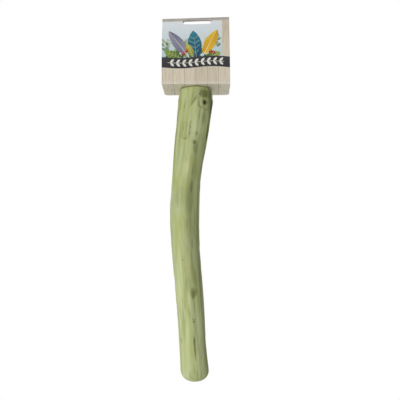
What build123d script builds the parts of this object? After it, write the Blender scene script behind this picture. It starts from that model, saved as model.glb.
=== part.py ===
"""Bird perch: a peeled branch on a hanger bolt, with washers, a wing nut and a folded hang card.

Millimetres, +Z up. The origin is the centre of the branch's sawn end, on the bolt's axis. The branch
hangs below the origin. The card and the hardware stand above it, and the card's front looks to -Y.
"""

import os
from math import cos, radians, sin

from build123d import *

# Branch: a natural form, given as sections down its length
BRANCH_LENGTH = 300.0
BRANCH_SECTIONS = (
    # share of the length, drift in X, drift in Y, half width in X, half depth in Y
    (0.00, -0.4, 0.0, 17.0, 16.6),
    (0.055, -1.3, 0.3, 18.0, 17.2),
    (0.12, -3.5, 0.9, 17.3, 16.6),
    (0.21, -6.8, 1.9, 16.5, 15.7),
    (0.30, -10.0, 2.7, 14.8, 15.0),
    (0.42, -12.2, 3.0, 15.0, 14.6),
    (0.53, -11.4, 2.4, 14.4, 14.4),
    (0.66, -8.2, 1.0, 14.0, 13.9),
    (0.79, -5.2, -0.4, 13.5, 13.6),
    (0.88, -3.5, -0.9, 13.3, 13.4),
    (0.95, -1.6, -1.1, 14.1, 13.7),
    (1.00, -1.0, -1.1, 14.0, 13.5),
)
BRANCH_TIP_ROUNDING = 11.0
BRANCH_END_ROUNDING = 2.4

# Knot near the sawn end, where a side shoot was trimmed
KNOT_SECTION = 1
KNOT_BEARING = -52.0
KNOT_SWELL_RADIUS = 9.0
KNOT_SWELL_HEIGHT = 1.4
KNOT_PIT_RADIUS = 2.1

# Hanger bolt: wood thread below the origin, M6 machine thread above it
BOLT_THREAD_RADIUS = 2.95
BOLT_WOOD_RADIUS = 3.0
BOLT_WOOD_LENGTH = 38.0
BOLT_POINT_LENGTH = 7.0
BOLT_POINT_RADIUS = 0.5
BOLT_REACH = 28.0
BOLT_CHAMFER = 0.8
BOLT_GLUE_GAP = 0.05
PILOT_EXTRA_DEPTH = 1.0

# Hang card: one strip of board folded round the hardware
BOARD = 0.6
CARD_WIDTH = 69.4
CARD_DEPTH = 44.0
CARD_HEIGHT = 79.0
CARD_BOW = 4.0
CARD_FOLD_RADIUS = 1.3
FLAP_CORNER_RADIUS = 5.0
INNER_FLAP_SETBACK = 4.0
LAYER_GAP = 0.1
BOLT_HOLE_CLEARANCE = 0.45
HANG_HOLE_WIDTH = 30.0
HANG_HOLE_HEIGHT = 5.5
HANG_HOLE_DROP = 7.0
HANG_HOLE_OFFSET = 1.5

# Penny washers
WASHER_RADIUS = 15.0
WASHER_THICKNESS = 1.5
WASHER_HOLE_CLEARANCE = 0.25
WASHER_CHAMFER = 0.2

# Wing nut
NUT_BASE_RADIUS = 6.2
NUT_TOP_RADIUS = 5.2
NUT_BOSS_HEIGHT = 7.0
NUT_BORE_CLEARANCE = 0.05
NUT_EDGE_ROUNDING = 0.6
WING_SPAN = 28.0
WING_HEIGHT = 13.8
WING_EAR_RADIUS = 3.5
WING_THICKNESS = 2.6
WING_ROOT_BOTTOM = 1.4
WING_ROOT_HEIGHT = 4.2
WING_ROOT_DEPTH = 1.0
WING_EDGE_ROUNDING = 0.7

# Air between pieces that turn or slide on each other
SEAT_GAP = 0.1

# Heights of the stack on the bolt, from the branch's end upwards
OUTER_FLAP_Z = SEAT_GAP
INNER_FLAP_Z = OUTER_FLAP_Z + BOARD + LAYER_GAP
INNER_WASHER_Z = INNER_FLAP_Z + BOARD + SEAT_GAP
OUTER_WASHER_Z = INNER_WASHER_Z + WASHER_THICKNESS + SEAT_GAP
NUT_Z = OUTER_WASHER_Z + WASHER_THICKNESS + SEAT_GAP


def section_centre(section):
    """The middle of one branch section."""
    share, drift_x, drift_y, _, _ = section
    return Vector(drift_x, drift_y, -share * BRANCH_LENGTH)


def knot_plane():
    """A plane on the branch's skin at the knot, facing outwards."""
    _, _, _, half_x, half_y = BRANCH_SECTIONS[KNOT_SECTION]
    outward = Vector(cos(radians(KNOT_BEARING)), sin(radians(KNOT_BEARING)), 0)
    reach = Vector(half_x * outward.X, half_y * outward.Y, 0)
    return Plane(section_centre(BRANCH_SECTIONS[KNOT_SECTION]) + reach, z_dir=outward)


# Branch: a loft through its sections, rounded at both ends, with the knot and the bolt's pilot hole
with BuildPart() as branch:
    for section in BRANCH_SECTIONS:
        centre = section_centre(section)
        with BuildSketch(Plane.XY.offset(centre.Z)):
            with Locations((centre.X, centre.Y)):
                Ellipse(section[3], section[4])
    loft()
    sawn_end = branch.faces().sort_by(Axis.Z)[-1]
    tip_end = branch.faces().sort_by(Axis.Z)[0]
    fillet(tip_end.edges(), BRANCH_TIP_ROUNDING)
    fillet(sawn_end.edges(), BRANCH_END_ROUNDING)
    knot = knot_plane()
    with Locations(knot.offset(KNOT_SWELL_HEIGHT - KNOT_SWELL_RADIUS)):
        Sphere(KNOT_SWELL_RADIUS)
    with Locations(knot.offset(KNOT_SWELL_HEIGHT)):
        Sphere(KNOT_PIT_RADIUS, mode=Mode.SUBTRACT)
    with BuildSketch(Plane.XZ):
        with BuildLine():
            Polyline(
                (0, 0),
                (BOLT_WOOD_RADIUS + BOLT_GLUE_GAP, 0),
                (BOLT_WOOD_RADIUS + BOLT_GLUE_GAP, BOLT_POINT_LENGTH - BOLT_WOOD_LENGTH),
                (BOLT_POINT_RADIUS + BOLT_GLUE_GAP, -BOLT_WOOD_LENGTH - PILOT_EXTRA_DEPTH),
                (0, -BOLT_WOOD_LENGTH - PILOT_EXTRA_DEPTH),
                close=True,
            )
        make_face()
    revolve(axis=Axis.Z, mode=Mode.SUBTRACT)
branch.part.label = "branch"


# Hanger bolt: one turned profile from its wood point to its chamfered end
with BuildPart() as hanger_bolt:
    with BuildSketch(Plane.XZ):
        with BuildLine():
            Polyline(
                (0, -BOLT_WOOD_LENGTH),
                (BOLT_POINT_RADIUS, -BOLT_WOOD_LENGTH),
                (BOLT_WOOD_RADIUS, BOLT_POINT_LENGTH - BOLT_WOOD_LENGTH),
                (BOLT_WOOD_RADIUS, 0),
                (BOLT_THREAD_RADIUS, 0),
                (BOLT_THREAD_RADIUS, BOLT_REACH - BOLT_CHAMFER),
                (BOLT_THREAD_RADIUS - BOLT_CHAMFER, BOLT_REACH),
                (0, BOLT_REACH),
                close=True,
            )
        make_face()
    revolve(axis=Axis.Z)
hanger_bolt.part.label = "hanger_bolt"


# Hang card: outer flap, front, top fold, back and inner flap, swept as one bent strip of board
with BuildPart() as hang_card:
    with BuildLine(Plane.YZ) as strip:
        front_fold = (-CARD_DEPTH / 2, OUTER_FLAP_Z)
        back_fold = (CARD_DEPTH / 2, INNER_FLAP_Z)
        top_fold = (0, CARD_HEIGHT)
        Line((CARD_DEPTH / 2, OUTER_FLAP_Z), front_fold)
        SagittaArc(front_fold, top_fold, CARD_BOW)
        SagittaArc(top_fold, back_fold, CARD_BOW)
        Line(back_fold, (INNER_FLAP_SETBACK - CARD_DEPTH / 2, INNER_FLAP_Z))
        fillet(strip.vertices(), CARD_FOLD_RADIUS)
    with BuildSketch(Plane(strip.line @ 0, x_dir=(1, 0, 0), z_dir=strip.line % 0)):
        Rectangle(CARD_WIDTH, BOARD, align=(Align.CENTER, Align.MIN))
    sweep()
    flap_corners = hang_card.edges().filter_by(Axis.Z).filter_by(lambda edge: edge.length < 2 * BOARD)
    fillet(flap_corners, FLAP_CORNER_RADIUS)
    with BuildSketch(Plane.XZ):
        with Locations((HANG_HOLE_OFFSET, CARD_HEIGHT - HANG_HOLE_DROP)):
            SlotOverall(HANG_HOLE_WIDTH, HANG_HOLE_HEIGHT)
    extrude(amount=CARD_DEPTH, both=True, mode=Mode.SUBTRACT)
    with BuildSketch():
        Circle(BOLT_THREAD_RADIUS + BOLT_HOLE_CLEARANCE)
    extrude(amount=INNER_WASHER_Z, mode=Mode.SUBTRACT)
hang_card.part.label = "hang_card"


def penny_washer(height):
    """A washer on the bolt with its lower face at this height."""
    with BuildPart() as washer:
        with BuildSketch(Plane.XY.offset(height)):
            Circle(WASHER_RADIUS)
            Circle(BOLT_THREAD_RADIUS + WASHER_HOLE_CLEARANCE, mode=Mode.SUBTRACT)
        extrude(amount=WASHER_THICKNESS)
        chamfer(washer.edges().filter_by(GeomType.CIRCLE), WASHER_CHAMFER)
    return washer


# Washers: the inner one seats on the branch, the outer one is moved by the nut
inner_washer = penny_washer(INNER_WASHER_Z)
inner_washer.part.label = "inner_washer"
outer_washer = penny_washer(OUTER_WASHER_Z)
outer_washer.part.label = "outer_washer"


# Wing nut: two rounded ears on a tapered boss, bored for the thread
with BuildPart() as wing_nut:
    with BuildSketch(Plane.XZ):
        with BuildSketch(Plane.XZ, mode=Mode.PRIVATE) as ear:
            with Locations((WING_SPAN / 2 - WING_EAR_RADIUS, NUT_Z + WING_HEIGHT - WING_EAR_RADIUS)):
                Circle(WING_EAR_RADIUS)
            with Locations((BOLT_THREAD_RADIUS, NUT_Z + WING_ROOT_BOTTOM)):
                Rectangle(WING_ROOT_DEPTH, WING_ROOT_HEIGHT, align=(Align.MIN, Align.MIN))
            make_hull()
        add(ear.sketch)
        mirror(ear.sketch, about=Plane.YZ)
    extrude(amount=WING_THICKNESS / 2, both=True)
    fillet(wing_nut.faces().filter_by(Axis.Y).edges(), WING_EDGE_ROUNDING)
    with BuildSketch(Plane.XZ) as boss:
        with BuildLine():
            Polyline(
                (0, NUT_Z),
                (NUT_BASE_RADIUS, NUT_Z),
                (NUT_TOP_RADIUS, NUT_Z + NUT_BOSS_HEIGHT),
                (0, NUT_Z + NUT_BOSS_HEIGHT),
                close=True,
            )
        make_face()
        fillet(boss.vertices().sort_by(Axis.X)[-2:], NUT_EDGE_ROUNDING)
    revolve(axis=Axis.Z)
    with BuildSketch(Plane.XY.offset(NUT_Z)):
        Circle(BOLT_THREAD_RADIUS + NUT_BORE_CLEARANCE)
    extrude(amount=NUT_BOSS_HEIGHT, mode=Mode.SUBTRACT)
wing_nut.part.label = "wing_nut"


os.makedirs("parts", exist_ok=True)
export_step(branch.part, "parts/branch.step")
export_step(hanger_bolt.part, "parts/hanger_bolt.step")
export_step(hang_card.part, "parts/hang_card.step")
export_step(inner_washer.part, "parts/inner_washer.step")
export_step(outer_washer.part, "parts/outer_washer.step")
export_step(wing_nut.part, "parts/wing_nut.step")
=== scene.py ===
"""Looks of the bird perch: peeled branch, printed hang card, threaded bolt and plated hardware.

Lengths in the named values are millimetres, and MM turns them into the frame's metres.
"""

import math
from collections import namedtuple

import bpy
import numpy as np
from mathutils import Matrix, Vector
from mathutils.bvhtree import BVHTree
from mathutils.geometry import delaunay_2d_cdt


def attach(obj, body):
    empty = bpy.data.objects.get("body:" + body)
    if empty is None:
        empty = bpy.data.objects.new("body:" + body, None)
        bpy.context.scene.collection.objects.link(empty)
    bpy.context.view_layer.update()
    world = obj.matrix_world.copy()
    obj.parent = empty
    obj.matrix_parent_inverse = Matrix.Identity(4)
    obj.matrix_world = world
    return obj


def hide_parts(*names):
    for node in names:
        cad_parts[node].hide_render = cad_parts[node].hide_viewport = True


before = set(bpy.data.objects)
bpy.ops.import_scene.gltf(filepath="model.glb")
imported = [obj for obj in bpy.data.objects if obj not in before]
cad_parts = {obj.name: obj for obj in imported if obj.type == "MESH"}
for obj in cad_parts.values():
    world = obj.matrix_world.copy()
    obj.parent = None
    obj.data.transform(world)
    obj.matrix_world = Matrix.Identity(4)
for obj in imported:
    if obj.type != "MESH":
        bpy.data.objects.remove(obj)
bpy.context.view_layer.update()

MM = 0.001
SEED = 7

# Branch: how finely its skin is made, and how its two ends are rounded
BRANCH_LENGTH = 300.0
TIP_TRIM = 1.6
BRANCH_RINGS = 440
BRANCH_SIDES = 176
END_ROUNDING = 2.4
END_RINGS = 8
TIP_ROUNDING = 13.0
TIP_INSET = 13.0
TIP_RINGS = 26
TIP_CUTS = 11
TIP_CUT_REACH = 13.0
SKIN_SMOOTHING = 60
SKIN_BEFORE_KNIFE = 0.3
LUMP_HEIGHT = 0.16
FIBRE_HEIGHT = 0.035
KNIFE_FLATS = 46
PILOT_RADIUS = 3.05
PILOT_STRAIGHT = 31.0
PILOT_DEPTH = 39.0
PILOT_POINT_RADIUS = 0.55

# Hanger bolt
BOLT_SIDES = 40
BOLT_RADIUS = 2.95
BOLT_REACH = 28.0
BOLT_CHAMFER = 0.8
MACHINE_PITCH = 1.0
MACHINE_THREAD_DEPTH = 0.58
WOOD_RADIUS = 3.0
WOOD_LENGTH = 38.0
WOOD_POINT = 7.0
WOOD_POINT_RADIUS = 0.5
WOOD_PITCH = 2.4
WOOD_THREAD_DEPTH = 0.75

# Hang card: the solid's folded strip, with a top edge that leans, flares and droops like the real one
CARD_WIDTH = 69.4
CARD_DEPTH = 44.0
CARD_HEIGHT = 79.0
CARD_BOW = 4.0
BOARD = 0.6
OUTER_FLAP_Z = 0.1
INNER_FLAP_Z = 0.8
INNER_FLAP_SETBACK = 4.0
FOLD_LENGTH = 2.4
FLAP_CORNER_RADIUS = 5.0
BOLT_HOLE_RADIUS = 3.4
HANG_HOLE = (30.0, 5.5)
HANG_HOLE_PLACE = (1.5, 72.0)
TOP_EDGE_SKEW = 0.95
TOP_EDGE_DROP = 0.85
TOP_EDGE_REACH = 3.0
TOP_EDGE_FLARE = 0.016
TOP_EDGE_LEAN = 0.75
SEAT_SHIFT = 0.1
PATH_STEP = 0.05
ROW_STEP = 3.0
FOLD_ROW_STEP = 0.3
MERGE_DISTANCE = 0.02

# Print on the card
BOARD_COUNT = 6
JOINT_HALF_WIDTH = 0.22
RIBBON = (18.0, 30.0)
RIBBON_WAVE = 1.1
RIBBON_WAVE_RATE = 0.1
SPRIG_ENDS = (-26, 24)
SPRIG_PAIRS = 9
SKY_LOW = 24.0
SKY_RIGHT = 27.0
THICKET = (27.0, 52.0)
THICKET_DABS = 120
TOP_SHADE_REACH = 6.5

# Camera and stage, as the photograph was taken
CAMERA_TARGET = (3.66, 0.0, -115.85)
CAMERA_DISTANCE = 620.0
CAMERA_AZIMUTH = 1.0
CAMERA_ELEVATION = -5.0
CAMERA_LENS = 54.13
FLOOR_DROP = 300.0
FLOOR_SIZE = 1800.0
FLOOR_GLOW = 0.42
FLOOR_FADE = (150.0, 700.0)
SURROUND_LIGHT = 0.16
LAMPS = (
    # name, azimuth, elevation, distance in metres, size in metres, power in watts
    ("key", -66.0, 8.0, 1.6, 0.9, 10.0),
    ("front", -14.0, 8.0, 1.6, 0.9, 11.7),
    ("back", 168.0, 14.0, 1.6, 0.9, 12.0),
    ("above", 150.0, 52.0, 1.4, 0.7, 6.0),
)


def srgb(red, green, blue):
    """A screen colour of 0 to 255 as linear light."""
    shares = (red / 255, green / 255, blue / 255)
    return tuple(((c + 0.055) / 1.055) ** 2.4 if c > 0.04045 else c / 12.92 for c in shares)


# Node tools
def new_material(name):
    """An empty principled material: its node tree, and its shader."""
    material = bpy.data.materials.new(name)
    material.use_nodes = True
    tree = material.node_tree
    return material, tree, tree.nodes["Principled BSDF"]


def attribute(tree, name):
    """A node that reads one of the mesh's own values."""
    node = tree.nodes.new("ShaderNodeAttribute")
    node.attribute_name = name
    return node


def amount(tree, name):
    """One of the mesh's own values, as a number."""
    return attribute(tree, name).outputs["Fac"]


def noise(tree, vector, scale, stretch, detail=4.0, roughness=0.55):
    """Noise on a vector that is first stretched along each axis."""
    mapping = tree.nodes.new("ShaderNodeMapping")
    mapping.inputs["Scale"].default_value = stretch
    texture = tree.nodes.new("ShaderNodeTexNoise")
    texture.inputs["Scale"].default_value = scale
    texture.inputs["Detail"].default_value = detail
    texture.inputs["Roughness"].default_value = roughness
    tree.links.new(vector, mapping.inputs["Vector"])
    tree.links.new(mapping.outputs["Vector"], texture.inputs["Vector"])
    return texture.outputs["Fac"]


def ramp(tree, value, stops):
    """A colour ramp through (place, colour) stops."""
    node = tree.nodes.new("ShaderNodeValToRGB")
    elements = node.color_ramp.elements
    while len(elements) < len(stops):
        elements.new(0.5)
    for element, (place, colour) in zip(elements, stops):
        element.position = place
        element.color = (*colour, 1.0)
    tree.links.new(value, node.inputs["Fac"])
    return node.outputs["Color"]


def spread(tree, value, low, high, to_low=0.0, to_high=1.0):
    """A value brought from one range to another, and held inside it."""
    node = tree.nodes.new("ShaderNodeMapRange")
    tree.links.new(value, node.inputs["Value"])
    node.inputs["From Min"].default_value = low
    node.inputs["From Max"].default_value = high
    node.inputs["To Min"].default_value = to_low
    node.inputs["To Max"].default_value = to_high
    return node.outputs["Result"]


def multiply(tree, first, second):
    """The product of two values."""
    node = tree.nodes.new("ShaderNodeMath")
    node.operation = "MULTIPLY"
    for socket, value in zip(node.inputs, (first, second)):
        if isinstance(value, float):
            socket.default_value = value
        else:
            tree.links.new(value, socket)
    return node.outputs["Value"]


def multiply_vector(tree, vector, scale):
    """A vector scaled along each axis."""
    node = tree.nodes.new("ShaderNodeVectorMath")
    node.operation = "MULTIPLY"
    tree.links.new(vector, node.inputs[0])
    node.inputs[1].default_value = scale
    return node.outputs["Vector"]


def blend(tree, factor, first, second):
    """Two colours mixed by a factor."""
    node = tree.nodes.new("ShaderNodeMix")
    node.data_type = "RGBA"
    for name, value in (("Factor_Float", factor), ("A_Color", first), ("B_Color", second)):
        socket = next(s for s in node.inputs if s.identifier == name)
        if isinstance(value, tuple):
            socket.default_value = (*value, 1.0)
        elif isinstance(value, float):
            socket.default_value = value
        else:
            tree.links.new(value, socket)
    return next(s for s in node.outputs if s.identifier == "Result_Color")


def bump(tree, shader, height, distance, strength=1.0):
    """Fine relief on the shader's normal."""
    node = tree.nodes.new("ShaderNodeBump")
    node.inputs["Distance"].default_value = distance
    node.inputs["Strength"].default_value = strength
    tree.links.new(height, node.inputs["Height"])
    tree.links.new(node.outputs["Normal"], shader.inputs["Normal"])


# Materials
def peeled_wood():
    """Green wood with its bark shaved off: long fibres, olive bast left in places, dark marks, and painted
    shade in the olive and dark layers along the stem's sides.
    """
    material, tree, shader = new_material("peeled_wood")
    straight = attribute(tree, "straight").outputs["Vector"]
    broad = noise(tree, straight, 110.0, (1.0, 1.0, 0.25), detail=3.0)
    streaks = noise(tree, straight, 260.0, (1.0, 1.0, 0.07))
    fibres = noise(tree, straight, 1100.0, (1.0, 1.0, 0.035), detail=2.0)
    colour = ramp(tree, broad, (
        (0.34, srgb(175, 181, 116)),
        (0.50, srgb(184, 192, 136)),
        (0.66, srgb(187, 199, 154)),
    ))
    colour = blend(tree, spread(tree, streaks, 0.42, 0.70, 0.0, 0.36), colour, srgb(147, 155, 98))
    colour = blend(tree, spread(tree, streaks, 0.46, 0.30, 0.0, 0.40), colour, srgb(203, 203, 156))
    colour = blend(tree, spread(tree, fibres, 0.52, 0.72, 0.0, 0.30), colour, srgb(137, 144, 92))
    ragged = spread(tree, streaks, 0.34, 0.56, 0.5, 1.0)
    scraped = spread(tree, streaks, 0.62, 0.38, 0.35, 1.0)
    colour = blend(tree, multiply(tree, amount(tree, "pale"), scraped), colour, srgb(202, 210, 160))
    # The olive and dark layers hold bark, stains and specks, and also painted shade.
    colour = blend(tree, multiply(tree, amount(tree, "olive"), ragged), colour, srgb(112, 118, 66))
    colour = blend(tree, amount(tree, "dark"), colour, srgb(50, 52, 30))
    tree.links.new(colour, shader.inputs["Base Color"])
    tree.links.new(spread(tree, streaks, 0.3, 0.7, 0.5, 0.72), shader.inputs["Roughness"])
    shader.inputs["Specular IOR Level"].default_value = 0.08
    bump(tree, shader, fibres, 0.12 * MM, 0.6)
    return material


def zinc_plate():
    """Bright zinc on steel: cool grey, with a fine cloudy sheen."""
    material, tree, shader = new_material("zinc_plate")
    place = tree.nodes.new("ShaderNodeTexCoord").outputs["Object"]
    clouds = noise(tree, place, 180.0, (1.0, 1.0, 1.0), detail=5.0)
    grain = noise(tree, place, 2400.0, (1.0, 1.0, 1.0), detail=2.0)
    colour = ramp(tree, clouds, ((0.3, srgb(192, 194, 196)), (0.7, srgb(220, 221, 219))))
    tree.links.new(colour, shader.inputs["Base Color"])
    shader.inputs["Metallic"].default_value = 1.0
    tree.links.new(spread(tree, clouds, 0.3, 0.7, 0.34, 0.5), shader.inputs["Roughness"])
    bump(tree, shader, grain, 0.02 * MM, 0.5)
    return material


def printed_face():
    """The card's coated outside: its ink, grain where boards are printed, and a speckled paler line along
    the folds.
    """
    material, tree, shader = new_material("printed_face")
    flat = attribute(tree, "flat").outputs["Vector"]
    ink = attribute(tree, "ink").outputs["Color"]
    grain = noise(tree, flat, 900.0, (1.0, 0.06, 1.0), detail=5.0)
    tone = noise(tree, flat, 160.0, (1.0, 0.12, 1.0), detail=3.0)
    lines = multiply(tree, spread(tree, grain, 0.48, 0.68, 0.0, 0.5), amount(tree, "grain"))
    clouds = multiply(tree, spread(tree, tone, 0.35, 0.7, 0.0, 0.5), amount(tree, "grain"))
    colour = blend(tree, lines, ink, srgb(158, 136, 108))
    colour = blend(tree, clouds, colour, srgb(226, 214, 192))
    speckle = noise(tree, flat, 2600.0, (1.0, 1.0, 1.0), detail=2.0)
    # Paler, speckled colour along the folds.
    worn = multiply(tree, amount(tree, "fold_paling"), spread(tree, speckle, 0.3, 0.6, 0.45, 1.0))
    colour = blend(tree, worn, colour, srgb(228, 224, 216))
    tree.links.new(colour, shader.inputs["Base Color"])
    tree.links.new(spread(tree, speckle, 0.3, 0.7, 0.55, 0.68), shader.inputs["Roughness"])
    shader.inputs["Specular IOR Level"].default_value = 0.25
    bump(tree, shader, speckle, 0.02 * MM, 0.4)
    return material


def bare_board(name, low, high):
    """Unprinted paperboard with short fibres."""
    material, tree, shader = new_material(name)
    flat = attribute(tree, "flat").outputs["Vector"]
    fibres = noise(tree, flat, 1500.0, (1.0, 0.3, 1.0), detail=4.0)
    tree.links.new(ramp(tree, fibres, ((0.3, low), (0.7, high))), shader.inputs["Base Color"])
    shader.inputs["Roughness"].default_value = 0.85
    bump(tree, shader, fibres, 0.03 * MM, 0.35)
    return material


# Mesh tools
def add_mesh(name, points, faces):
    """A smooth-shaded mesh object from points in millimetres."""
    mesh = bpy.data.meshes.new(name)
    mesh.from_pydata((np.asarray(points) * MM).tolist(), [], faces)
    mesh.polygons.foreach_set("use_smooth", np.ones(len(mesh.polygons), bool))
    mesh.update()
    piece = bpy.data.objects.new(name, mesh)
    bpy.context.scene.collection.objects.link(piece)
    return piece


def store(mesh, name, kind, values, domain="POINT"):
    """Keeps a value on each point or corner of the mesh, for its material to read."""
    layer = mesh.attributes.new(name, kind, domain)
    field = {"FLOAT": "value", "FLOAT_VECTOR": "vector", "FLOAT_COLOR": "color"}[kind]
    layer.data.foreach_set(field, np.asarray(values, np.float32).ravel())


def tube_faces(rings, sides):
    """Faces of a tube of rings, closed at both ends by a last point each."""
    faces = []
    for ring in range(rings - 1):
        low, high = ring * sides, (ring + 1) * sides
        for side in range(sides):
            after = (side + 1) % sides
            faces.append((low + side, low + after, high + after, high + side))
    first, last = rings * sides, rings * sides + 1
    end = (rings - 1) * sides
    for side in range(sides):
        after = (side + 1) % sides
        faces.append((first, after, side))
        faces.append((last, end + side, end + after))
    return faces


# Branch
class Skin:
    """The branch's skin by depth below the sawn end and by bearing, with the relief and the marks on it."""

    def __init__(self, node):
        quarter = np.linspace(0, math.pi / 2, END_RINGS, endpoint=False)
        tip_quarter = np.linspace(math.pi / 2, 0, TIP_RINGS)
        body = np.linspace(END_ROUNDING, BRANCH_LENGTH - TIP_ROUNDING, BRANCH_RINGS, endpoint=False)
        end_depth = END_ROUNDING * (1 - np.cos(quarter))
        tip_depth = BRANCH_LENGTH - TIP_ROUNDING * (1 - np.cos(tip_quarter))
        self.depth = np.concatenate([end_depth, body, tip_depth])[:, None]
        self.inset = np.concatenate([
            END_ROUNDING * (1 - np.sin(quarter)),
            np.zeros(BRANCH_RINGS),
            TIP_INSET * (1 - np.sin(tip_quarter)),
        ])[:, None]
        self.bearing = np.linspace(-180, 180, BRANCH_SIDES, endpoint=False)[None, :]
        self.centre, self.radius = self.read_solid(node)
        shape = self.radius.shape
        self.relief = np.zeros(shape)
        self.olive = np.zeros(shape)
        self.pale = np.zeros(shape)
        self.dark = np.zeros(shape)

    def read_solid(self, node):
        """The solid's centre line and its radius at each bearing, smoothed from its facets."""
        corners = [v.co for v in node.data.vertices]
        tree = BVHTree.FromPolygons(corners, [p.vertices for p in node.data.polygons])
        far = 1.0
        margin = 0.3
        highest, lowest = END_ROUNDING + margin, BRANCH_LENGTH - TIP_ROUNDING - margin
        heights = -np.clip(self.depth[:, 0], highest, lowest) * MM
        angles = np.radians(self.bearing[0])
        centre, radius = [], []
        for height in heights:
            left = tree.ray_cast(Vector((-far, 0, height)), Vector((1, 0, 0)))[0]
            right = tree.ray_cast(Vector((far, 0, height)), Vector((-1, 0, 0)))[0]
            middle = (left.x + right.x) / 2
            front = tree.ray_cast(Vector((middle, -far, height)), Vector((0, 1, 0)))[0]
            back = tree.ray_cast(Vector((middle, far, height)), Vector((0, -1, 0)))[0]
            axis = Vector((middle, (front.y + back.y) / 2, height))
            outward = [Vector((math.cos(a), math.sin(a), 0)) for a in angles]
            hits = [tree.ray_cast(axis + d * far, -d)[0] for d in outward]
            centre.append((axis.x, axis.y))
            radius.append([(hit - axis).length for hit in hits])
        centre, radius = np.array(centre) / MM, np.array(radius) / MM
        for _ in range(SKIN_SMOOTHING):
            radius = (np.roll(radius, 1, 1) + 2 * radius + np.roll(radius, -1, 1)) / 4
            radius[1:-1] = (radius[:-2] + 2 * radius[1:-1] + radius[2:]) / 4
            centre[1:-1] = (centre[:-2] + 2 * centre[1:-1] + centre[2:]) / 4
        return centre, radius

    def place(self, depth, bearing, tilt=0.0):
        """Distances across and along from a spot on the skin, turned by a tilt."""
        turn = (self.bearing - bearing + 180) % 360 - 180
        across, along = np.radians(turn) * self.radius, self.depth - depth
        c, s = math.cos(math.radians(tilt)), math.sin(math.radians(tilt))
        return across * c + along * s, along * c - across * s

    def flat(self, depth, bearing, half_length, half_width, tilt=0.0):
        """A knife cut: the skin is brought down to a plane, widest at its middle. Gives where it cut."""
        across, along = self.place(depth, bearing, tilt)
        width = half_width * np.sqrt(np.clip(1 - (along / half_length) ** 2, 0, 1))
        cut = np.clip(width ** 2 - across ** 2, 0, None) / (2 * self.radius)
        self.relief = np.minimum(self.relief, SKIN_BEFORE_KNIFE - cut)
        return np.clip(cut / (cut.max() * 0.4), 0, 1)

    def groove(self, depth, bearing, half_length, half_width, cut, darkness, tilt=0.0):
        """A narrow crack or scratch that runs out at both ends."""
        across, along = self.place(depth, bearing, tilt)
        taper = np.clip(1 - (along / half_length) ** 2, 0, 1)
        line = np.exp(-(across / half_width) ** 2) * taper
        self.relief -= cut * line
        self.dark = np.maximum(self.dark, darkness * line)

    def stain(self, layer, depth, bearing, half_length, half_width, strength, tilt=0.0, point=0.0):
        """A soft long patch of colour. A pointed one narrows downwards."""
        across, along = self.place(depth, bearing, tilt)
        width = half_width * np.clip(1 - point * (along / half_length), 0.15, 2)
        away = np.sqrt((across / width) ** 2 + (along / half_length) ** 2)
        np.maximum(layer, strength * np.clip(1.6 - 1.6 * away, 0, 1), out=layer)

    def points(self):
        """The skin's points, with the relief on them, and the same points about a straight axis."""
        angles = np.radians(self.bearing)
        square = np.sqrt(np.clip(1 - (self.inset / np.maximum(self.inset.max(), 1e-6)) ** 2, 0, 1))
        reach = self.radius - self.inset + self.relief * square
        x = self.centre[:, :1] + reach * np.cos(angles)
        y = self.centre[:, 1:] + reach * np.sin(angles)
        worn_length = 2 * TIP_ROUNDING
        worn = TIP_TRIM * np.clip((self.depth - BRANCH_LENGTH + worn_length) / worn_length, 0, 1) ** 2
        z = np.broadcast_to(worn - self.depth, x.shape)
        straight = np.stack([reach * np.cos(angles), reach * np.sin(angles), z], -1)
        return np.stack([x, y, z], -1), straight


def lumps_and_fibres(skin, rng):
    """Slow swellings of the stem, and the fine ridges of its fibres."""
    skin.relief += SKIN_BEFORE_KNIFE
    angles = np.radians(skin.bearing)
    for turns, wave in ((1, 95.0), (2, 60.0), (3, 42.0), (4, 31.0), (5, 23.0)):
        phase, drift = rng.uniform(0, 2 * math.pi, 2)
        swell = np.cos(2 * math.pi * skin.depth / wave + phase)
        skin.relief += LUMP_HEIGHT * np.cos(turns * angles + drift) * swell
    for turns in range(14, 46):
        phase, drift, wave = rng.uniform(0, 2 * math.pi), rng.uniform(-0.02, 0.02), rng.uniform(50, 120)
        swell = 0.6 + 0.4 * np.cos(2 * math.pi * skin.depth / wave + phase)
        skin.relief += FIBRE_HEIGHT * np.cos(turns * angles + phase + drift * skin.depth) * swell / 2


def knife_work(skin, rng):
    """Long flats where the bark was shaved off, all round and down the stem."""
    for _ in range(KNIFE_FLATS):
        depth, bearing = rng.uniform(20, 285), rng.uniform(-180, 180)
        half_length, half_width = rng.uniform(14, 42), rng.uniform(2.2, 4.4)
        worked = skin.flat(depth, bearing, half_length, half_width, rng.uniform(-5, 5))
        np.maximum(skin.pale, rng.uniform(0.0, 0.4) * worked, out=skin.pale)
    for depth, bearing, half_length, half_width, tilt, paleness in (
        (34.0, -86.0, 23.0, 5.0, 0.0, 0.7),
        (34.0, -67.0, 20.0, 4.6, 0.0, 0.75),
        (17.0, -104.0, 17.0, 4.2, 26.0, 0.0),
        (18.0, -128.0, 17.0, 3.6, 4.0, 0.2),
        (36.0, -46.0, 18.0, 5.0, -4.0, 0.6),
        (92.0, -52.0, 44.0, 5.6, 0.0, 0.0),
        (92.0, -100.0, 30.0, 4.6, 0.0, 0.2),
        (128.0, -112.0, 34.0, 4.4, 0.0, 0.1),
        (196.0, -118.0, 40.0, 4.6, 0.0, 0.35),
        (246.0, -116.0, 34.0, 4.4, 0.0, 0.3),
        (1.0, -10.0, 13.0, 8.5, 0.0, 0.0),
        (0.0, -174.0, 11.0, 5.8, 0.0, 0.0),
    ):
        worked = skin.flat(depth, bearing, half_length, half_width, tilt)
        np.maximum(skin.pale, paleness * worked, out=skin.pale)


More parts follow.
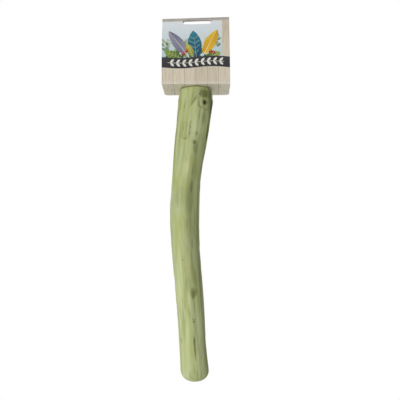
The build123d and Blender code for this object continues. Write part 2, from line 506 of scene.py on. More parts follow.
def knot(skin, rng, depth=17.0, bearing=-55.0):
    """The trimmed side shoot: a swelling, a ragged pale lip, a dark pith hole and bark round it, and
    painted shade down the right rim beside and below it.
    """
    across, along = skin.place(depth, bearing)
    around, away = np.arctan2(along, across), np.hypot(across, along * 0.9)
    pith = away / (1 + 0.18 * np.cos(3 * around + 0.6))
    lip = away / (1 + 0.14 * np.cos(2 * around - 0.8) + 0.08 * np.cos(5 * around))
    skin.relief += 0.8 * np.exp(-(away / 6.5) ** 2) + 0.3 * np.exp(-((lip - 4.4) / 1.1) ** 2)
    skin.relief -= 2.6 * np.exp(-(pith / 1.9) ** 4)
    skin.dark = np.maximum(skin.dark, np.exp(-(pith / 2.1) ** 6))
    np.maximum(skin.olive, 0.6 * np.exp(-((pith - 3.0) / 0.7) ** 2), out=skin.olive)
    ragged = 0.62 + 0.38 * np.cos(3 * around + 2.0)
    np.maximum(skin.pale, 0.75 * ragged * np.exp(-((lip - 4.9) / 1.4) ** 2), out=skin.pale)
    ring = 0.6 + 0.4 * np.cos(around - 2.4)
    np.maximum(skin.olive, 0.68 * ring * np.exp(-((lip - 6.6) / 1.3) ** 2), out=skin.olive)
    skin.stain(skin.olive, depth - 9.5, bearing - 5.0, 7.0, 6.5, 0.8)
    skin.stain(skin.olive, depth - 5.0, bearing + 30.0, 17.0, 6.5, 1.0)
    skin.stain(skin.dark, depth - 10.0, bearing + 22.0, 8.0, 7.0, 0.42)
    # Painted shade: dark and olive patches down the right rim beside and below the knot.
    skin.stain(skin.dark, depth + 1.0, bearing + 36.0, 17.0, 4.6, 0.65)
    skin.stain(skin.olive, depth + 28.0, bearing + 33.0, 12.0, 3.0, 0.9)
    skin.stain(skin.dark, depth + 33.0, bearing + 36.0, 4.0, 2.4, 0.7)
    for _ in range(18):
        spot = depth + rng.uniform(-14.0, -5.5), bearing + rng.uniform(-22.0, 14.0)
        size = rng.uniform(0.8, 2.4), rng.uniform(0.5, 1.0)
        skin.groove(*spot, *size, 0.3, rng.uniform(0.3, 0.6), rng.uniform(-60, 60))


def peel_scar(skin, depth=44.5, bearing=-111.0, half_width=4.0, half_length=10.0):
    """A tongue of bast that was left standing, rounded and ragged at its lower end."""
    across, along = skin.place(depth, bearing)
    across = across + 0.35 * np.sin(1.1 * along) + 0.25 * np.sin(2.3 * along + 1.0)
    beyond = np.maximum(along - (half_length - half_width), 0)
    edge = np.hypot(across, beyond) - half_width
    fade = np.clip((along + half_length) / 4.0, 0, 1)
    inside = fade / (1 + np.exp(np.clip(edge / 0.3, -40, 40)))
    broken = 0.62 + 0.22 * np.sin(0.9 * along + across) + 0.16 * np.sin(2.1 * along - 0.7 * across)
    line = fade * np.exp(-(edge / 0.75) ** 2) * broken
    skin.relief += 0.22 * inside - 0.2 * line
    np.maximum(skin.olive, 0.3 * inside + 0.8 * line, out=skin.olive)
    np.maximum(skin.dark, 0.12 * line, out=skin.dark)


def marks_and_painted_shade(skin, rng):
    """Bast, cracks and specks where the photograph has them, and a few more on the hidden sides. Painted
    shade is laid in along both sides of the stem and below a chip, and the stem is olive near the sawn end
    and paler towards the tip.
    """
    # An olive tint that fades out over the top 150 mm, and a paler tint that sets in below 185 mm and holds
    # to the tip.
    olive_near_top = 0.18 * np.clip(1 - skin.depth / 150, 0, 1) * (1 - np.clip(1.4 * skin.pale, 0, 1))
    np.maximum(skin.olive, olive_near_top, out=skin.olive)
    paler_near_tip = 0.5 * np.clip((skin.depth - 185) / 20, 0, 1)
    skin.pale = np.maximum(skin.pale, paler_near_tip * np.ones(skin.pale.shape))
    for depth, bearing, half_length, half_width, strength in (
        (15.0, -83.0, 16.0, 5.0, 1.0),
        (44.0, -73.0, 34.0, 4.0, 0.9),
        (40.0, -98.0, 20.0, 3.0, 0.6),
        (66.0, -92.0, 20.0, 5.0, 0.5),
        (84.0, -97.0, 14.0, 6.0, 0.8),
        (178.0, -42.0, 24.0, 5.0, 0.6),
        (214.0, -136.0, 26.0, 7.0, 0.9),
        (220.0, -74.0, 22.0, 3.0, 0.8),
        (228.0, -124.0, 17.0, 5.0, 1.0),
        (228.0, -76.0, 14.0, 3.0, 0.8),
        (238.0, -143.0, 14.0, 5.0, 1.0),
        (250.0, -46.0, 50.0, 8.0, 1.0),
        (278.0, -72.0, 22.0, 6.0, 0.8),
    ):
        skin.stain(skin.pale, depth, bearing, half_length, half_width, strength)
    for depth, bearing, half_length, half_width, strength, tilt, point in (
        (12.0, -98.0, 14.0, 3.8, 0.4, 31.0, 0.6),
        (16.0, -95.0, 11.0, 2.0, 0.85, 31.0, 0.0),
        # Painted shade: an olive band down the left side of the upper stem.
        (38.0, -156.0, 52.0, 6.0, 0.5, 0.0, 0.0),
        (20.0, -125.0, 9.0, 1.0, 0.65, 3.0, 0.0),
        # Painted shade: more olive on the left side, lower down.
        (60.0, -136.0, 34.0, 4.5, 0.55, 0.0, 0.0),
        (26.0, -68.0, 16.0, 0.9, 0.5, 0.0, 0.0),
        (32.0, -50.0, 10.0, 4.0, 0.55, 0.0, 0.0),
        (49.0, -70.0, 3.0, 1.6, 0.7, 0.0, 0.0),
        # Painted shadow: olive patches below and to the right of the chip.
        (58.5, -73.0, 4.0, 3.0, 0.9, -25.0, 0.9),
        (64.0, -66.0, 9.0, 4.6, 0.6, -8.0, 0.5),
        (88.0, -65.0, 10.0, 1.4, 0.6, 0.0, 0.0),
        (103.0, -64.0, 12.0, 2.4, 0.95, 0.0, 0.0),
        (113.0, -112.0, 15.0, 6.0, 0.35, 0.0, 0.0),
        (118.0, -68.0, 28.0, 6.0, 0.5, 0.0, 0.0),
        (145.0, -68.0, 22.0, 6.5, 0.5, 0.0, 0.0),
        (160.0, -60.0, 10.0, 1.8, 0.65, 0.0, 0.0),
        (202.0, -90.0, 12.0, 3.4, 0.5, 0.0, 0.0),
        (196.0, -62.0, 16.0, 3.0, 0.25, 0.0, 0.0),
        (211.0, -71.0, 8.0, 4.4, 0.8, 8.0, 0.8),
        # Painted shade: a long olive band down the right side of the stem.
        (215.0, -24.0, 120.0, 5.0, 0.65, 0.0, 0.0),
        (262.0, -79.0, 14.0, 1.3, 0.6, -2.0, 0.0),
    ):
        skin.stain(skin.olive, depth, bearing, half_length, half_width, strength, tilt, point)
    skin.groove(57.5, -75.0, 3.2, 0.9, 0.4, 0.25, -25.0)
    skin.groove(223.0, -69.0, 8.0, 0.45, 0.25, 0.5)
    skin.groove(257.0, -78.0, 4.6, 1.0, 0.5, 0.55)
    skin.groove(267.0, -80.0, 10.0, 0.5, 0.3, 0.4)
    for depth, bearing, size in (
        (177.0, -103.0, 0.5),
        (238.0, -76.0, 0.9),
        (235.5, -81.0, 0.5),
        (235.8, -71.0, 0.5),
    ):
        skin.groove(depth, bearing, size * 1.6, size, 0.2, 0.8)
    for _ in range(46):
        depth, bearing = rng.uniform(8, 288), rng.uniform(-180, 180)
        half_length = rng.uniform(6, 30)
        skin.stain(skin.olive, depth, bearing, half_length, rng.uniform(0.8, 2.2), rng.uniform(0.15, 0.4))
    for _ in range(26):
        depth, bearing = rng.uniform(30, 285), rng.uniform(-20, 220)
        skin.groove(depth, bearing, rng.uniform(1, 9), rng.uniform(0.3, 0.5), 0.2, rng.uniform(0.35, 0.7))
    for bearing in rng.uniform(-180, 180, 14):
        skin.groove(rng.uniform(283, 292), bearing, rng.uniform(3, 7), 0.4, 0.25, rng.uniform(0.35, 0.6))


def whittle_tip(points, rng):
    """Short slanting knife cuts round the rounded tip."""
    tip = points[-1].mean(0)
    for turn in np.arange(TIP_CUTS) * 2 * math.pi / TIP_CUTS + rng.uniform(-0.2, 0.2, TIP_CUTS):
        slant = math.radians(rng.uniform(38, 52))
        level = math.cos(slant)
        facing = np.array([math.cos(turn) * level, math.sin(turn) * level, -math.sin(slant)])
        reach = TIP_CUT_REACH * level - rng.uniform(3.4, 4.2)
        over = np.clip((points - tip) @ facing - reach, 0, None)
        points -= over[..., None] * facing


def make_branch():
    """The branch as one closed mesh, with the bolt's pilot hole in its sawn end."""
    rng = np.random.default_rng(SEED)
    skin = Skin(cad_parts["branch"])
    lumps_and_fibres(skin, rng)
    knife_work(skin, rng)
    knot(skin, rng)
    peel_scar(skin)
    marks_and_painted_shade(skin, rng)
    outer, straight = skin.points()
    whittle_tip(outer, rng)
    angles = np.radians(skin.bearing[0])
    circle = np.stack([np.cos(angles), np.sin(angles)], -1)

    def level(radius, depth, share):
        """A ring of the pilot hole, or one part of the way from it to the skin's first ring."""
        ring = np.column_stack([radius * circle, np.full(BRANCH_SIDES, -depth)])
        return ring * (1 - share) + outer[0] * share

    inner = [
        level(PILOT_POINT_RADIUS, PILOT_DEPTH, 0),
        level(PILOT_RADIUS, PILOT_STRAIGHT, 0),
        level(PILOT_RADIUS, 0, 0),
        level(PILOT_RADIUS, 0, 0.35),
        level(PILOT_RADIUS, 0, 0.7),
    ]
    tip = outer[-1].mean(0)
    tip_rings = [tip + (outer[-1] - tip) * share for share in (0.6, 0.25)]
    added = len(inner)
    rings = np.concatenate([np.array(inner), outer, np.array(tip_rings)])
    ends = np.array([(0, 0, -PILOT_DEPTH), tip])
    points = np.concatenate([rings.reshape(-1, 3), ends])
    piece = add_mesh("branch_wood", points, tube_faces(len(rings), BRANCH_SIDES))
    piece.data.flip_normals()

    def full(layer):
        """A skin layer carried on over the added rings, with nothing on the two end points."""
        padded = np.pad(layer, ((added, len(tip_rings)), (0, 0)), mode="edge").ravel()
        return np.concatenate([padded, [0.0, 0.0]])

    flat_points = points.copy()
    start, stop = added * BRANCH_SIDES, (added + len(outer)) * BRANCH_SIDES
    flat_points[start:stop] = straight.reshape(-1, 3)
    store(piece.data, "straight", "FLOAT_VECTOR", flat_points * MM)
    for name, layer in (("olive", skin.olive), ("pale", skin.pale), ("dark", skin.dark)):
        store(piece.data, name, "FLOAT", np.clip(full(layer), 0, 1))
    piece.data.materials.append(peeled_wood())
    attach(piece, "perch")
    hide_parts("branch")


# Hanger bolt
def thread(height, angle, pitch):
    """How deep in the thread a point is, from 0 on the crest to 1 in the root."""
    turn = (height / pitch - angle / (2 * math.pi)) % 1.0
    return np.clip(np.abs(2 * turn - 1) * 1.5 - 0.25, 0, 1)


def make_bolt(material):
    """The hanger bolt with both of its threads."""
    angles = np.linspace(0, 2 * math.pi, BOLT_SIDES, endpoint=False)[None, :]
    wood = np.arange(-WOOD_LENGTH, 0, WOOD_PITCH / 10)[:, None]
    machine = np.arange(0, BOLT_REACH + 1e-6, MACHINE_PITCH / 10)[:, None]
    point = np.clip((wood + WOOD_LENGTH) / WOOD_POINT, 0, 1)
    wood_radius = WOOD_POINT_RADIUS + (WOOD_RADIUS - WOOD_POINT_RADIUS) * point
    wood_radius = wood_radius - WOOD_THREAD_DEPTH * point * thread(wood, angles, WOOD_PITCH)
    bevel = np.minimum(BOLT_RADIUS, BOLT_RADIUS + BOLT_REACH - BOLT_CHAMFER - machine)
    cut = MACHINE_THREAD_DEPTH * thread(machine, angles, MACHINE_PITCH)
    machine_radius = np.minimum(bevel, BOLT_RADIUS - cut)
    radius = np.concatenate([wood_radius, machine_radius])
    height = np.broadcast_to(np.concatenate([wood, machine]), radius.shape)
    rings = np.stack([radius * np.cos(angles), radius * np.sin(angles), height], -1)
    ends = np.array([(0, 0, -WOOD_LENGTH), (0, 0, BOLT_REACH)])
    points = np.concatenate([rings.reshape(-1, 3), ends])
    piece = add_mesh("hanger_bolt_threaded", points, tube_faces(len(rings), BOLT_SIDES))
    piece.data.materials.append(material)
    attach(piece, "perch")
    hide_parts("hanger_bolt")


# Hang card: the strip's path
class Strip:
    """The card's outer face as a path from flap to flap, by length along the strip from the front fold."""

    def __init__(self):
        half = CARD_DEPTH / 2
        front, back, top = (-half, OUTER_FLAP_Z), (half, INNER_FLAP_Z), (0.0, CARD_HEIGHT)
        window = int(FOLD_LENGTH / PATH_STEP)
        run_over = window * PATH_STEP / 2
        start, end = (half, OUTER_FLAP_Z), (INNER_FLAP_SETBACK - half, INNER_FLAP_Z)
        corners = np.concatenate([
            np.array([(start[0] + run_over, start[1]), front]),
            self.bowed(front, top)[1:],
            self.bowed(top, back)[1:],
            np.array([(end[0] - run_over, end[1])]),
        ])
        length = np.concatenate([[0], np.cumsum(np.hypot(*np.diff(corners, axis=0).T))])
        even = np.arange(0, length[-1], PATH_STEP)
        sharp = np.column_stack([np.interp(even, length, corners[:, i]) for i in (0, 1)])
        mean = np.ones(window + 1) / (window + 1)
        self.path = np.column_stack([np.convolve(sharp[:, i], mean, "valid") for i in (0, 1)])
        self.along = np.arange(len(self.path)) * PATH_STEP - CARD_DEPTH
        tangent = np.gradient(self.path, axis=0)
        tangent /= np.linalg.norm(tangent, axis=1)[:, None]
        self.inward = np.column_stack([tangent[:, 1], -tangent[:, 0]])
        self.start, self.end = self.along[0], self.along[-1]
        self.top = self.along[np.argmax(self.path[:, 1])]
        self.back = self.end - abs(end[0] - back[0])

    @staticmethod
    def bowed(start, end):
        """Points on a shallow arc that bows outwards between two folds."""
        start, end = np.array(start), np.array(end)
        chord = end - start
        length = np.hypot(*chord)
        left = np.array([-chord[1], chord[0]]) / length
        radius = (length ** 2 / 4 + CARD_BOW ** 2) / (2 * CARD_BOW)
        half = math.asin(length / 2 / radius)
        turn = np.linspace(-half, half, 200)[:, None]
        middle = (start + end) / 2 - left * (radius - CARD_BOW)
        return middle + radius * (np.sin(turn) * chord / length + np.cos(turn) * left)

    def at_height(self, height, front):
        """Length along the strip where the front or back panel is this high."""
        if front:
            part = (self.along > 0) & (self.along < self.top)
            return np.interp(height, self.path[part, 1], self.along[part])
        part = (self.along > self.top) & (self.along < self.back)
        return np.interp(-np.asarray(height), -self.path[part, 1], self.along[part])

    def at_depth(self, depth, outer):
        """Length along the strip where the outer or inner flap is this far back."""
        part = self.along < 0 if outer else self.along > self.back
        return np.interp(-np.asarray(depth), -self.path[part, 0], self.along[part])

    def bend(self, flat, inset):
        """Points of the flat strip, folded, and moved inwards by the inset."""
        y, z = (np.interp(flat[:, 1], self.along, self.path[:, i]) for i in (0, 1))
        n_y, n_z = (np.interp(flat[:, 1], self.along, self.inward[:, i]) for i in (0, 1))
        norm = np.hypot(n_y, n_z)
        y, z = y + inset * n_y / norm, z + inset * n_z / norm
        z = z - TOP_EDGE_DROP * np.exp(-((flat[:, 1] - self.top) / TOP_EDGE_REACH) ** 2)
        lift = np.clip(z / CARD_HEIGHT, 0, 1)
        x = flat[:, 0] * (1 + TOP_EDGE_FLARE * lift) - SEAT_SHIFT - TOP_EDGE_LEAN * lift
        return np.column_stack([x, y, z + TOP_EDGE_SKEW * lift * flat[:, 0] / (CARD_WIDTH / 2)])


# Hang card: the print, as inked outlines on the flat strip
Ink = namedtuple("Ink", "outline base tip base_colour tip_colour grain")


def inked(outline, colour, tip_colour=None, base=(0, 0), tip=(0, 1), grain=0.0):
    """An outline that is filled with one colour, or with a run of colour from its base to its tip."""
    outline, base, tip = (np.array(points, float) for points in (outline, base, tip))
    return Ink(outline, base, tip, colour, tip_colour or colour, grain)


def oblong(left, right, low, high):
    """A rectangular outline."""
    return [(left, low), (right, low), (right, high), (left, high)]


def turned(points, base, turn):
    """Points about an upright stem, turned to the right by an angle and set on its base."""
    c, s = math.cos(math.radians(turn)), math.sin(math.radians(turn))
    return [(base[0] + x * c + y * s, base[1] - x * s + y * c) for x, y in points]


def blade(length, width, steps=12):
    """A leaf-shaped outline about an upright stem."""
    shares = np.linspace(0, 1, steps)
    half = width / 2 * np.sin(math.pi * shares) ** 0.8
    left = [(-w, length * h) for w, h in zip(half, shares)]
    right = [(w, length * h) for w, h in zip(half[::-1], shares[::-1])]
    return left[:-1] + right[:-1]


def leaf(base, length, width, turn, dark, light):
    """A leaf with its midrib and side veins."""
    tip = turned([(0, length)], base, turn)[0]
    inks = [inked(turned(blade(length, width), base, turn), dark, light, base, tip)]
    vein = tuple(0.6 * d + 0.4 * v for d, v in zip(light, (0.9, 0.9, 0.8)))
    rib = [(-0.28, -0.12 * length), (0.28, -0.12 * length), (0.05, 0.92 * length), (-0.05, 0.92 * length)]
    inks.append(inked(turned(rib, base, turn), vein))
    for share in (0.2, 0.36, 0.52, 0.68):
        low, reach = share * length, 0.36 * width * math.sin(math.pi * share)
        for side in (-1, 1):
            end = side * reach
            stroke = [(0, low), (0, low + 0.4), (end, low + 0.12 * length), (end, low + 0.1 * length)]
            inks.append(inked(turned(stroke, base, turn), vein))
    return inks


def vane(length, width, sign, start, splits):
    """One side of a feather, split a little way in at some places."""
    outline = [(0, start)]
    for share in np.linspace(0.02, 0.99, 22):
        half = width / 2 * math.sin(math.pi * share ** 0.8) ** 0.7
        height = start + (length - start) * share
        outline.append((sign * half, height))
        if any(abs(share - split) < 0.024 for split in splits):
            outline.append((sign * 0.4 * half, height - 0.05 * length))
            outline.append((sign * half, height + 0.012 * length))
    return outline + [(0, length)]


def feather(base, length, width, turn, dark, light, quill):
    """A feather: two split vanes of different tone, barbs, and a bare quill below."""
    tip = turned([(0, length)], base, turn)[0]
    start = 0.2 * length
    inks = []
    for sign, near, far, splits in ((-1, dark, light, (0.3, 0.62)), (1, light, dark, (0.44, 0.8))):
        outline = turned(vane(length, width, sign, start, splits), base, turn)
        inks.append(inked(outline, near, far, base, tip))
        shade = tuple(0.6 * c for c in near)
        for share in np.linspace(0.06, 0.84, 12):
            low = start + (length - start) * share
            reach = 0.42 * width * math.sin(math.pi * min(share + 0.1, 1) ** 0.8) ** 0.7
            end, rise = sign * reach, 0.08 * length
            stroke = [(0, low), (end, low + rise), (end, low + rise + 0.45), (0, low + 0.35)]
            inks.append(inked(turned(stroke, base, turn), shade))
    shaft = [(-0.45, -0.05 * length), (0.45, -0.05 * length), (0.08, 0.96 * length), (-0.08, 0.96 * length)]
    inks.append(inked(turned(shaft, base, turn), quill))
    return inks


def disc(centre, radius, points=18):
    """A round outline."""
    angles = np.linspace(0, 2 * math.pi, points, endpoint=False)
    return [(centre[0] + radius * math.cos(a), centre[1] + radius * math.sin(a)) for a in angles]


def berry(centre, radius):
    """A red berry with a bright spot."""
    spot = (centre[0] - 0.3 * radius, centre[1] + 0.3 * radius)
    low, high = (0, centre[1] - radius), (0, centre[1] + radius)
    return [
        inked(disc(centre, radius), srgb(150, 38, 30), srgb(196, 66, 46), low, high),
        inked(disc(spot, 0.3 * radius, 10), srgb(238, 190, 170)),
    ]


def boards(strip, rng):
    """Upright boards printed over the whole strip, with dark joints between them, printed paler on the
    outer flap as painted light on its shaded underside.
    """
    inks = []
    edges = np.linspace(-CARD_WIDTH / 2, CARD_WIDTH / 2, BOARD_COUNT + 1)
    for left, right in zip(edges[:-1], edges[1:]):
        shade = rng.uniform(-10, 8)
        colour = srgb(216 + shade, 206 + shade, 184 + shade)
        # Painted light: the boards turn paler on the outer flap, below the front fold.
        flap_painted_light_colour = srgb(227 + shade, 221 + shade, 202 + shade)
        outline = oblong(left, right, strip.start, strip.end)
        inks.append(inked(outline, flap_painted_light_colour, colour, (0, -FOLD_LENGTH), (0, 0), 1.0))
    for edge in edges[1:-1]:
        outline = oblong(edge - JOINT_HALF_WIDTH, edge + JOINT_HALF_WIDTH, strip.start, strip.end)
        inks.append(inked(outline, srgb(150, 134, 112), grain=1.0))
    return inks


def ribbon(low, high, flip):
    """A dark wavy band across a panel, with a pale sprig along it."""
    half = CARD_WIDTH / 2
    across = np.linspace(-half, half, 24)
    wave = RIBBON_WAVE * np.sin(across * RIBBON_WAVE_RATE * flip)
    outline = list(zip(across, low + wave)) + list(zip(across[::-1], high + wave[::-1]))
    inks = [inked(outline, srgb(44, 44, 47), srgb(58, 57, 60), (0, low), (0, high))]
    middle = (low + high) / 2 + wave
    pale = srgb(232, 230, 220)
    stem = list(zip(across[2:-2], middle[2:-2] - 0.22)) + list(zip(across[-3:1:-1], middle[-3:1:-1] + 0.22))
    inks.append(inked(stem, pale))
    for place in np.linspace(*SPRIG_ENDS, SPRIG_PAIRS):
        base = (place, (low + high) / 2 + RIBBON_WAVE * math.sin(place * RIBBON_WAVE_RATE * flip))
        for turn in (42, 138):
            inks.append(inked(turned(blade(5.6, 2.5, 9), base, turn), pale))
    return inks


def foliage(rng, left, right, low, high):
    """A thicket of small leaf dabs, darker below and paler above."""
    inks = []
    tones = ((84, 104, 74), (128, 150, 118), (168, 186, 158), (204, 216, 202), (226, 232, 224))
    for _ in range(THICKET_DABS):
        x, share = rng.uniform(left + 3, right - 3), rng.uniform(0, 1)
        tone = tones[int(np.clip(share * 4 + rng.normal(0, 1.0), 0, 4))]
        shape = blade(rng.uniform(5.0, 8.5), rng.uniform(2.4, 4.2), 7)
        dab = turned(shape, (x, low + share * (high - low)), rng.uniform(-80, 80))
        inks.append(inked([(min(max(px, left), right), t) for px, t in dab], srgb(*tone)))
    return inks


def picture(strip, rng):
    """The front's picture: a pale sky over a thicket, and leaves, feathers and berries above the ribbon."""
    half = CARD_WIDTH / 2
    sky_high = strip.top - TOP_SHADE_REACH
    sky = oblong(-half, SKY_RIGHT, SKY_LOW, sky_high)
    inks = [inked(sky, srgb(182, 208, 216), srgb(242, 247, 250), (0, SKY_LOW), (0, sky_high))]
    inks += foliage(rng, -half, SKY_RIGHT, *THICKET)
    inks += leaf((-13, 28), 21, 10, -66, srgb(48, 76, 30), srgb(140, 162, 62))
    inks += leaf((12, 28), 15, 9, 62, srgb(54, 84, 34), srgb(156, 174, 70))
    inks += leaf((1, 27), 36, 14, -6, srgb(18, 60, 98), srgb(56, 132, 146))
    inks += feather((-5, 26), 43, 12, -32, srgb(104, 104, 126), srgb(170, 170, 186), srgb(226, 222, 214))
    inks += feather((5, 26), 41, 12, 25, srgb(216, 150, 22), srgb(248, 214, 66), srgb(250, 238, 196))
    inks += leaf((-2, 28), 20, 7, -22, srgb(88, 110, 34), srgb(204, 198, 76))
    for x, height, radius in ((-9.5, 37, 2.0), (-12.6, 33.8, 1.8), (15.2, 36.2, 1.9), (18.4, 34.4, 1.6)):
        inks += berry((x, height), radius)
    return inks


def painted_top_shade(strip):
    """Painted shade: the boards darken towards the top fold, on both panels."""
    half, pale, dark = CARD_WIDTH / 2, srgb(208, 203, 194), srgb(158, 157, 154)
    inks = []
    for start in (strip.top - TOP_SHADE_REACH, strip.top + TOP_SHADE_REACH):
        outline = oblong(-half, half, start, strip.top)
        inks.append(inked(outline, pale, dark, (0, start), (0, strip.top), 0.6))
    return inks


def card_print(strip):
    """All the ink on the outside of the strip, painted shade and painted light among it, from the lowest
    layer to the top one.
    """
    rng = np.random.default_rng(SEED)
    low, high = RIBBON
    inks = boards(strip, rng) + picture(strip, rng) + painted_top_shade(strip) + ribbon(low, high, 1)
    return inks + ribbon(strip.back - high, strip.back - low, -1)


# Hang card: its mesh
def rounded_strip(strip):
    """The strip's outline, with rounded corners on both flaps."""
    half, r = CARD_WIDTH / 2, FLAP_CORNER_RADIUS
    outline = []
    for x, t, first in (
        (half - r, strip.start + r, -90), (half - r, strip.end - r, 0),
        (r - half, strip.end - r, 90), (r - half, strip.start + r, 180),
    ):
        for angle in np.radians(np.linspace(first, first + 90, 9)):
            outline.append((x + r * math.cos(angle), t + r * math.sin(angle)))
    return outline


def card_holes(strip):
    """Outlines of the hang hole in both panels and of the bolt hole in both flaps."""
    width, height = HANG_HOLE
    x, z = HANG_HOLE_PLACE
    straight, radius = width / 2 - height / 2, height / 2
    end = disc((0, 0), radius, 24)
    slot = [(x + straight + px, z + pz) for px, pz in end[18:] + end[:7]]
    slot += [(x - straight + px, z + pz) for px, pz in end[6:19]]
    holes = [[(px, float(strip.at_height(pz, front))) for px, pz in slot] for front in (True, False)]
    ring = disc((0, 0), BOLT_HOLE_RADIUS, 28)
    holes += [[(px, float(strip.at_depth(py, outer))) for px, py in ring] for outer in (True, False)]
    return holes


def inside(outline, points):
    """Which points lie inside an outline."""
    outline = np.asarray(outline)
    hit = np.zeros(len(points), bool)
    for (x0, y0), (x1, y1) in zip(outline, np.roll(outline, -1, 0)):
        if y0 != y1:
            crosses = (y0 > points[:, 1]) != (y1 > points[:, 1])
            hit ^= crosses & (points[:, 0] < (x1 - x0) * (points[:, 1] - y0) / (y1 - y0) + x0)
    return hit


def strip_rows(strip):
    """Lengths along the strip where it is creased: close together in the folds, wider in the panels."""
    rows = list(np.arange(strip.start + ROW_STEP, strip.end, ROW_STEP))
    for fold in (0.0, strip.top, strip.back):
        rows = [r for r in rows if abs(r - fold) > FOLD_LENGTH]
        rows += list(np.arange(fold - FOLD_LENGTH * 0.7, fold + FOLD_LENGTH * 0.7, FOLD_ROW_STEP))
    return sorted(rows)


def flat_mesh(strip, outline, holes, inks):
    """Triangles of the flat strip that follow every ink outline, hole and crease."""
    points, edges = [], []

    def add_loop(loop):
        first = len(points)
        points.extend(Vector(p) for p in loop)
        edges.extend((first + i, first + (i + 1) % len(loop)) for i in range(len(loop)))

    for loop in [outline, *holes, *(ink.outline for ink in inks)]:
        add_loop(loop)
    for row in strip_rows(strip):
        edges.append((len(points), len(points) + 1))
        points.extend([Vector((-CARD_WIDTH / 2, row)), Vector((CARD_WIDTH / 2, row))])
    found = delaunay_2d_cdt(points, edges, [], 0, MERGE_DISTANCE)
    flat = np.array([tuple(p) for p in found[0]])
    triangles = np.array([f for f in found[2] if len(f) == 3])
    middles = flat[triangles].mean(1)
    kept = inside(outline, middles)
    for hole in holes:
        kept &= ~inside(hole, middles)
    used, index = np.unique(triangles[kept], return_inverse=True)
    return flat[used], index.reshape(-1, 3)


def rim_edges(triangles):
    """Edges that only one triangle has, in that triangle's own direction."""
    sides = np.concatenate([triangles[:, [0, 1]], triangles[:, [1, 2]], triangles[:, [2, 0]]])
    have = {tuple(side) for side in sides}
    return [(a, b) for a, b in sides if (b, a) not in have]


def ink_corners(inks, flat, triangles):
    """The colour and the board grain at each corner of each triangle, from the topmost ink there."""
    middles = flat[triangles].mean(1)
    colours = np.ones((len(triangles), 3, 4))
    grain = np.zeros((len(triangles), 3))
    for ink in inks:
        hit = inside(ink.outline, middles)
        run = ink.tip - ink.base
        share = np.clip(((flat[triangles[hit]] - ink.base) @ run) / (run @ run), 0, 1)[..., None]
        colours[hit, :, :3] = np.array(ink.base_colour) * (1 - share) + np.array(ink.tip_colour) * share
        grain[hit] = ink.grain
    return colours, grain


def make_card():
    """The folded card as one closed sheet: printed outside, bare inside and at its cut edges."""
    strip = Strip()
    outline, holes, inks = rounded_strip(strip), card_holes(strip), card_print(strip)
    flat, triangles = flat_mesh(strip, outline, holes, inks)
    count = len(flat)
    points = np.concatenate([strip.bend(flat, 0.0), strip.bend(flat, BOARD)])
    rim = rim_edges(triangles)
    faces = [tuple(t) for t in triangles.tolist()]
    faces += [tuple(c + count for c in reversed(t)) for t in triangles.tolist()]
    faces += [(int(b), int(a), int(a) + count, int(b) + count) for a, b in rim]
    piece = add_mesh("printed_card", points, faces)
    mesh = piece.data
    sheet, cut = len(triangles), len(rim)
    mesh.polygons.foreach_set("material_index", np.repeat([0, 1, 2], [sheet, sheet, cut]).astype(np.int32))
    rim_pairs = {tuple(sorted(map(int, pair))) for pair in rim}
    rim_pairs |= {(a + count, b + count) for a, b in rim_pairs}
    for edge in mesh.edges:
        edge.use_edge_sharp = tuple(sorted(edge.vertices)) in rim_pairs
    colours, grain = ink_corners(inks, flat, triangles)
    rest = len(mesh.loops) - 3 * sheet
    colours = np.concatenate([colours.reshape(-1, 4), np.ones((rest, 4))])
    store(mesh, "ink", "FLOAT_COLOR", colours, "CORNER")
    store(mesh, "grain", "FLOAT", np.concatenate([grain.ravel(), np.zeros(rest)]), "CORNER")
    # Paler along the three folds.
    worn = sum(np.exp(-((flat[:, 1] - fold) / 1.1) ** 2) for fold in (0.6, strip.top, strip.back - 0.6))
    store(mesh, "fold_paling", "FLOAT", np.tile(0.6 * np.clip(worn, 0, 1), 2))
    store(mesh, "flat", "FLOAT_VECTOR", np.tile(np.column_stack([flat, np.zeros(count)]) * MM, (2, 1)))
    mesh.materials.append(printed_face())
    mesh.materials.append(bare_board("board_inside", srgb(218, 214, 206), srgb(232, 229, 222)))
    mesh.materials.append(bare_board("board_cut", srgb(206, 202, 192), srgb(226, 222, 214)))
    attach(piece, "card")
    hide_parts("hang_card")


def plate_hardware(material):
    """The washers and the wing nut keep their solids, and get the plating."""
    for name in ("inner_washer", "outer_washer", "wing_nut"):
        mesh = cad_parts[name].data
        mesh.materials.clear()
        mesh.materials.append(material)


# Stage, light and camera
def direction(azimuth, elevation):
    """The way from the object to something at this bearing: azimuth 0 is in front, 90 to the right."""
    a, e = math.radians(azimuth), math.radians(elevation)
    return Vector((math.sin(a) * math.cos(e), -math.cos(a) * math.cos(e), math.sin(e)))


def seen_by_eye(tree):
    """1 for what the camera sees, straight, in gloss or through glass, and 0 for light on its way."""
    path = tree.nodes.new("ShaderNodeLightPath")
    seen = path.outputs["Is Camera Ray"]
    for name in ("Is Glossy Ray", "Is Transmission Ray"):
        node = tree.nodes.new("ShaderNodeMath")
        node.operation = "MAXIMUM"
        tree.links.new(seen, node.inputs[0])
        tree.links.new(path.outputs[name], node.inputs[1])
        seen = node.outputs["Value"]
    return seen


def make_surround():
    """A world that is white to the eye, and gives a low even light."""
    world = bpy.data.worlds.new("surround")
    world.use_nodes = True
    tree = world.node_tree
    mix = tree.nodes.new("ShaderNodeMixShader")
    tree.links.new(seen_by_eye(tree), mix.inputs["Fac"])
    for socket, strength in ((1, SURROUND_LIGHT), (2, 1.0)):
        node = tree.nodes.new("ShaderNodeBackground")
        node.inputs["Color"].default_value = (1, 1, 1, 1)
        node.inputs["Strength"].default_value = strength
        tree.links.new(node.outputs["Background"], mix.inputs[socket])
    tree.links.new(mix.outputs["Shader"], tree.nodes["World Output"].inputs["Surface"])
    bpy.context.scene.world = world


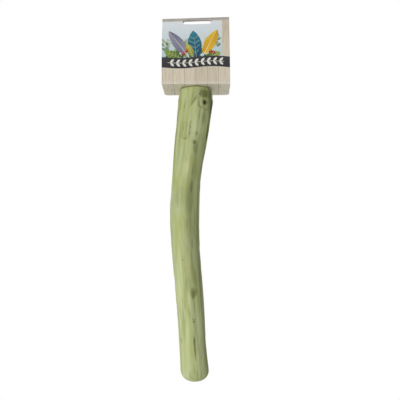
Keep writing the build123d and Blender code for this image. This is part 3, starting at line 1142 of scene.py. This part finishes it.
def make_floor():
    """A pale floor below the hanging perch: white to the eye, apart from the perch's soft shadow."""
    size, height = FLOOR_SIZE / 2 * MM, -(BRANCH_LENGTH + FLOOR_DROP) * MM
    mesh = bpy.data.meshes.new("floor")
    corners = [(-size, -size, height), (size, -size, height), (size, size, height), (-size, size, height)]
    mesh.from_pydata(corners, [], [(0, 1, 2, 3)])
    floor = bpy.data.objects.new("floor", mesh)
    bpy.context.scene.collection.objects.link(floor)
    material, tree, shader = new_material("floor_paint")
    shader.inputs["Base Color"].default_value = (*srgb(240, 240, 238), 1)
    shader.inputs["Roughness"].default_value = 0.9
    shader.inputs["Specular IOR Level"].default_value = 0.0
    shader.inputs["Emission Color"].default_value = (1, 1, 1, 1)
    length = tree.nodes.new("ShaderNodeVectorMath")
    length.operation = "LENGTH"
    place = tree.nodes.new("ShaderNodeTexCoord").outputs["Object"]
    tree.links.new(multiply_vector(tree, place, (1.0, 1.0, 0.0)), length.inputs[0])
    glow = spread(tree, length.outputs["Value"], *(reach * MM for reach in FLOOR_FADE), FLOOR_GLOW, 1.0)
    tree.links.new(multiply(tree, seen_by_eye(tree), glow), shader.inputs["Emission Strength"])
    mesh.materials.append(material)


def add_lamp(name, azimuth, elevation, distance, size, power):
    """A square soft lamp that faces the middle of the perch."""
    data = bpy.data.lights.new(name, "AREA")
    data.shape = "SQUARE"
    data.size = size
    data.energy = power
    lamp = bpy.data.objects.new(name, data)
    away = direction(azimuth, elevation)
    lamp.location = Vector(CAMERA_TARGET) * MM + away * distance
    lamp.rotation_euler = away.to_track_quat("Z", "Y").to_euler()
    bpy.context.scene.collection.objects.link(lamp)


def make_camera():
    """The photograph's viewpoint: almost level, a little below the middle, looking slightly up."""
    data = bpy.data.cameras.new("photo_camera")
    data.lens = CAMERA_LENS
    camera = bpy.data.objects.new("photo_camera", data)
    away = direction(CAMERA_AZIMUTH, CAMERA_ELEVATION)
    camera.location = (Vector(CAMERA_TARGET) + away * CAMERA_DISTANCE) * MM
    camera.rotation_euler = away.to_track_quat("Z", "Y").to_euler()
    bpy.context.scene.collection.objects.link(camera)
    bpy.context.scene.camera = camera


zinc = zinc_plate()
make_branch()
make_bolt(zinc)
make_card()
plate_hardware(zinc)
make_surround()
make_floor()
for lamp in LAMPS:
    add_lamp(*lamp)
make_camera()
bpy.context.scene.view_settings.view_transform = "Standard"
